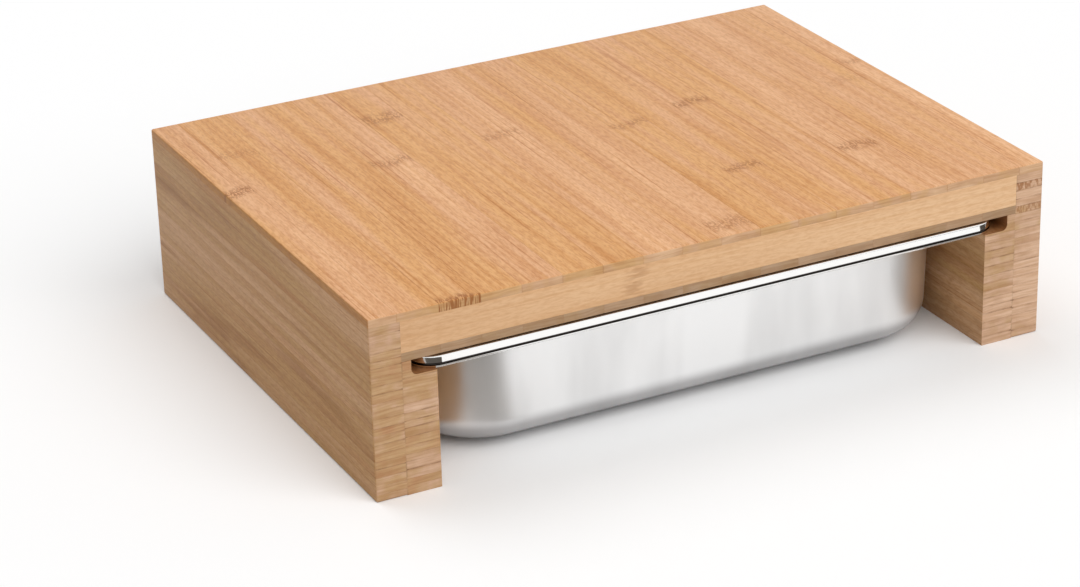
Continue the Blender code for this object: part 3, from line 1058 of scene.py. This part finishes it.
def flat_sheet(name, low, high, height):
    """A level rectangle of the studio, with a material that has no shine."""
    shape = bmesh.new()
    corners = [(low[0], low[1]), (high[0], low[1]), (high[0], high[1]), (low[0], high[1])]
    shape.faces.new([shape.verts.new((x, y, height)) for x, y in corners])
    mesh = bpy.data.meshes.new(name)
    shape.to_mesh(mesh)
    shape.free()
    material, tree, shader, _ = new_material(name)
    shader.inputs["Roughness"].default_value = 1
    shader.inputs["Specular IOR Level"].default_value = 0
    mesh.materials.append(material)
    sheet = bpy.data.objects.new(name, mesh)
    bpy.context.scene.collection.objects.link(sheet)
    return sheet, tree, shader


reach = FLOOR_HALF_SIZE
floor, tree, shader = flat_sheet("studio_floor", (-reach, -reach), (reach, reach), -FLOOR_DROP)
feed(tree, shader.inputs["Base Color"], mix(tree, seen_directly(tree), FLOOR_BOUNCE, FLOOR_SEEN))

# %% [markdown]
# Steel in an all-white studio looks like paper. A photographer lays grey and dark cards to either
# side of the picture, so that the tray's corners turn dark and show their roundness. Only the
# reflections see the cards.

# %% Cards beside the picture
CARDS = {
    "left_grey_card": ((-0.60, -0.225), (-0.092, -0.140), (0.43, 0.41, 0.39, 1)),
    "left_dark_card": ((-0.60, -0.60), (-0.098, -0.225), (0.09, 0.08, 0.07, 1)),
    "right_grey_card": ((0.155, -0.215), (0.252, -0.140), (0.34, 0.32, 0.30, 1)),
    "right_dark_card": ((0.252, -0.60), (0.60, -0.170), (0.07, 0.06, 0.05, 1)),
}
for name, (near_corner, far_corner, colour) in CARDS.items():
    card, _, shader = flat_sheet(name, near_corner, far_corner, FLOOR_DROP)
    shader.inputs["Base Color"].default_value = colour
    card.visible_camera = False
    card.visible_diffuse = False
    card.visible_shadow = False

# %% Levels of light
DOME_LIGHT = 0.40
DOME_COLOUR = (1.0, 1.0, 1.0, 1)
SEEN_COLOUR = (0.973, 0.973, 0.973, 1)
SUNS = {
    "front_sun": {"towards": (0.18, -0.68, 0.74), "share": 0.43, "angle": 60},
    "back_sun": {"towards": (-0.18, 0.48, 0.85), "share": 0.20, "angle": 40},
}


# %% World
def add_world():
    world = bpy.data.worlds.new("studio_world")
    world.use_nodes = True
    tree = world.node_tree
    light = tree.nodes["Background"]
    light.inputs["Color"].default_value = DOME_COLOUR
    light.inputs["Strength"].default_value = DOME_LIGHT
    shown = tree.nodes.new("ShaderNodeBackground")
    shown.inputs["Color"].default_value = SEEN_COLOUR
    choice = tree.nodes.new("ShaderNodeMixShader")
    feed(tree, choice.inputs[0], seen_directly(tree))
    feed(tree, choice.inputs[1], light.outputs[0])
    feed(tree, choice.inputs[2], shown.outputs[0])
    feed(tree, tree.nodes["World Output"].inputs["Surface"], choice.outputs[0])
    bpy.context.scene.world = world


add_world()
print("dome light:", DOME_LIGHT)


# %% Lamps
def add_sun(name, towards, share, angle):
    """A sun that adds this share of white to a level white surface."""
    towards = Vector(towards).normalized()
    data = bpy.data.lights.new(name, "SUN")
    data.energy = share * math.pi / towards.z
    data.angle = math.radians(angle)
    sun = bpy.data.objects.new(name, data)
    sun.rotation_euler = towards.to_track_quat("Z", "Y").to_euler()
    sun.visible_glossy = False
    bpy.context.scene.collection.objects.link(sun)


for name, settings in SUNS.items():
    add_sun(name, **settings)
bpy.context.scene.view_settings.view_transform = "Standard"
level = DOME_LIGHT + sum(settings["share"] for settings in SUNS.values())
print("light on a level surface:", round(level, 2))

# %% [markdown]
# ## Update the scene
# The view layer is brought up to date.

# %% Update the view layer
bpy.context.view_layer.update()
